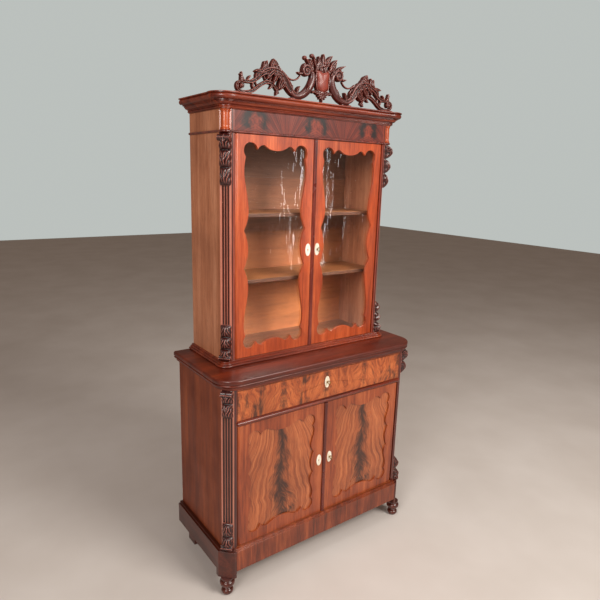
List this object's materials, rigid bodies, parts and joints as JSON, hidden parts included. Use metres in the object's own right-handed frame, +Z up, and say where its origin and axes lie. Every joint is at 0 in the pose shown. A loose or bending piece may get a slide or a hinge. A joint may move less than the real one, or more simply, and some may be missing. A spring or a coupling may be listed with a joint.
{
  "type": "glazed bookcase on a cupboard base",
  "caption": "Two-stage wooden bookcase with glazed doors, adjustable shelves and a carved crest above a base with a drawer and panelled doors.",
  "frame": {"origin": "on the floor, below the middle of the whole bookcase's box", "axes": "+X to the right, -Y to the front where the doors open, +Z up"},
  "size_m": [0.988, 0.429, 2.065],
  "materials": {
    "carcass": "french-polished mahogany, straight vertical grain",
    "flame_veneer": "polished flame mahogany veneer",
    "front_frames": "polished orange-red mahogany",
    "mouldings": "polished dark red mahogany",
    "carving": "waxed dark carved mahogany",
    "inner_wood": "plain light brown softwood",
    "pane": "old, slightly wavy drawn glass",
    "bone": "polished bone, close to a satin plastic",
    "iron": "dull worked iron"
  },
  "bodies": {
    "case": {"front_feet": "mouldings", "rear_feet": "inner_wood", "plinth_front": "flame_veneer", "plinth_left": "carcass", "plinth_right": "carcass", "lower_left_side": "carcass", "lower_right_side": "carcass", "lower_bottom": "inner_wood", "lower_back": "inner_wood", "lower_left_pilaster": "mouldings", "lower_right_pilaster": "mouldings", "upper_left_pilaster": "mouldings", "upper_right_pilaster": "mouldings", "lower_consoles": "carving", "upper_consoles": "carving", "drawer_rail": "front_frames", "top_rail": "front_frames", "drawer_runners": "inner_wood", "table_top": "carcass", "base_moulding": "mouldings", "upper_left_side": "carcass", "upper_right_side": "carcass", "upper_bottom": "inner_wood", "frieze_board": "flame_veneer", "upper_top": "inner_wood", "upper_back_boards": "inner_wood", "astragal": "mouldings", "frieze_columns": "mouldings", "cornice": "mouldings", "crest": "carving", "door_pivots": "iron", "shelf_pegs": "inner_wood"},
    "drawer": {"drawer_front": "flame_veneer", "drawer_sides": "inner_wood", "drawer_back": "inner_wood", "drawer_bottom": "inner_wood", "drawer_lock": "iron", "drawer_escutcheon": "bone"},
    "drawer_key": {"drawer_key": "iron"},
    "lower_left_door": {"lower_left_door_frame": "front_frames", "lower_left_door_panel": "flame_veneer", "lower_left_escutcheon": "bone"},
    "lower_right_door": {"lower_right_door_frame": "front_frames", "lower_right_door_panel": "flame_veneer", "lower_right_escutcheon": "bone", "lower_closing_strip": "mouldings", "lower_door_lock": "iron"},
    "lower_door_key": {"lower_door_key": "iron"},
    "upper_left_door": {"upper_left_door_frame": "front_frames", "upper_left_door_glass": "pane", "upper_left_escutcheon": "bone"},
    "upper_right_door": {"upper_right_door_frame": "front_frames", "upper_right_door_glass": "pane", "upper_right_escutcheon": "bone", "upper_closing_strip": "mouldings", "upper_door_lock": "iron"},
    "upper_door_key": {"upper_door_key": "iron"},
    "lower_shelf": {"lower_shelf": "inner_wood"},
    "upper_shelf_low": {"upper_shelf_low": "inner_wood"},
    "upper_shelf_high": {"upper_shelf_high": "inner_wood"}
  },
  "joints": [
    {"name": "drawer_slide", "type": "slide", "parent": "case", "child": "drawer", "axis": [0, -1, 0], "range_m": [0, 0.28]},
    {"name": "drawer_key_turn", "type": "hinge", "parent": "drawer", "child": "drawer_key", "pos_m": [0, -0.1905, 0.794], "axis": [0, -1, 0], "range_deg": [0, 180]},
    {"name": "lower_left_door_hinge", "type": "hinge", "parent": "case", "child": "lower_left_door", "pos_m": [-0.4095, -0.1795, 0.447], "axis": [0, 0, -1], "range_deg": [0, 95]},
    {"name": "lower_right_door_hinge", "type": "hinge", "parent": "case", "child": "lower_right_door", "pos_m": [0.4095, -0.1795, 0.447], "axis": [0, 0, 1], "range_deg": [0, 95]},
    {"name": "lower_door_key_turn", "type": "hinge", "parent": "lower_right_door", "child": "lower_door_key", "pos_m": [0.028, -0.1905, 0.447], "axis": [0, -1, 0], "range_deg": [0, 180]},
    {"name": "upper_left_door_hinge", "type": "hinge", "parent": "case", "child": "upper_left_door", "pos_m": [-0.3475, -0.0495, 1.325], "axis": [0, 0, -1], "range_deg": [0, 95]},
    {"name": "upper_right_door_hinge", "type": "hinge", "parent": "case", "child": "upper_right_door", "pos_m": [0.3475, -0.0495, 1.325], "axis": [0, 0, 1], "range_deg": [0, 95]},
    {"name": "upper_door_key_turn", "type": "hinge", "parent": "upper_right_door", "child": "upper_door_key", "pos_m": [0.0235, -0.0605, 1.325], "axis": [0, -1, 0], "range_deg": [0, 180]},
    {"name": "lower_shelf_lift", "type": "slide", "parent": "case", "child": "lower_shelf", "axis": [0, 0, 1], "range_m": [0, 0.128]},
    {"name": "upper_shelf_low_lift", "type": "slide", "parent": "case", "child": "upper_shelf_low", "axis": [0, 0, 1], "range_m": [0, 0.224]},
    {"name": "upper_shelf_high_lift", "type": "slide", "parent": "case", "child": "upper_shelf_high", "axis": [0, 0, 1], "range_m": [0, 0.192]}
  ]
}
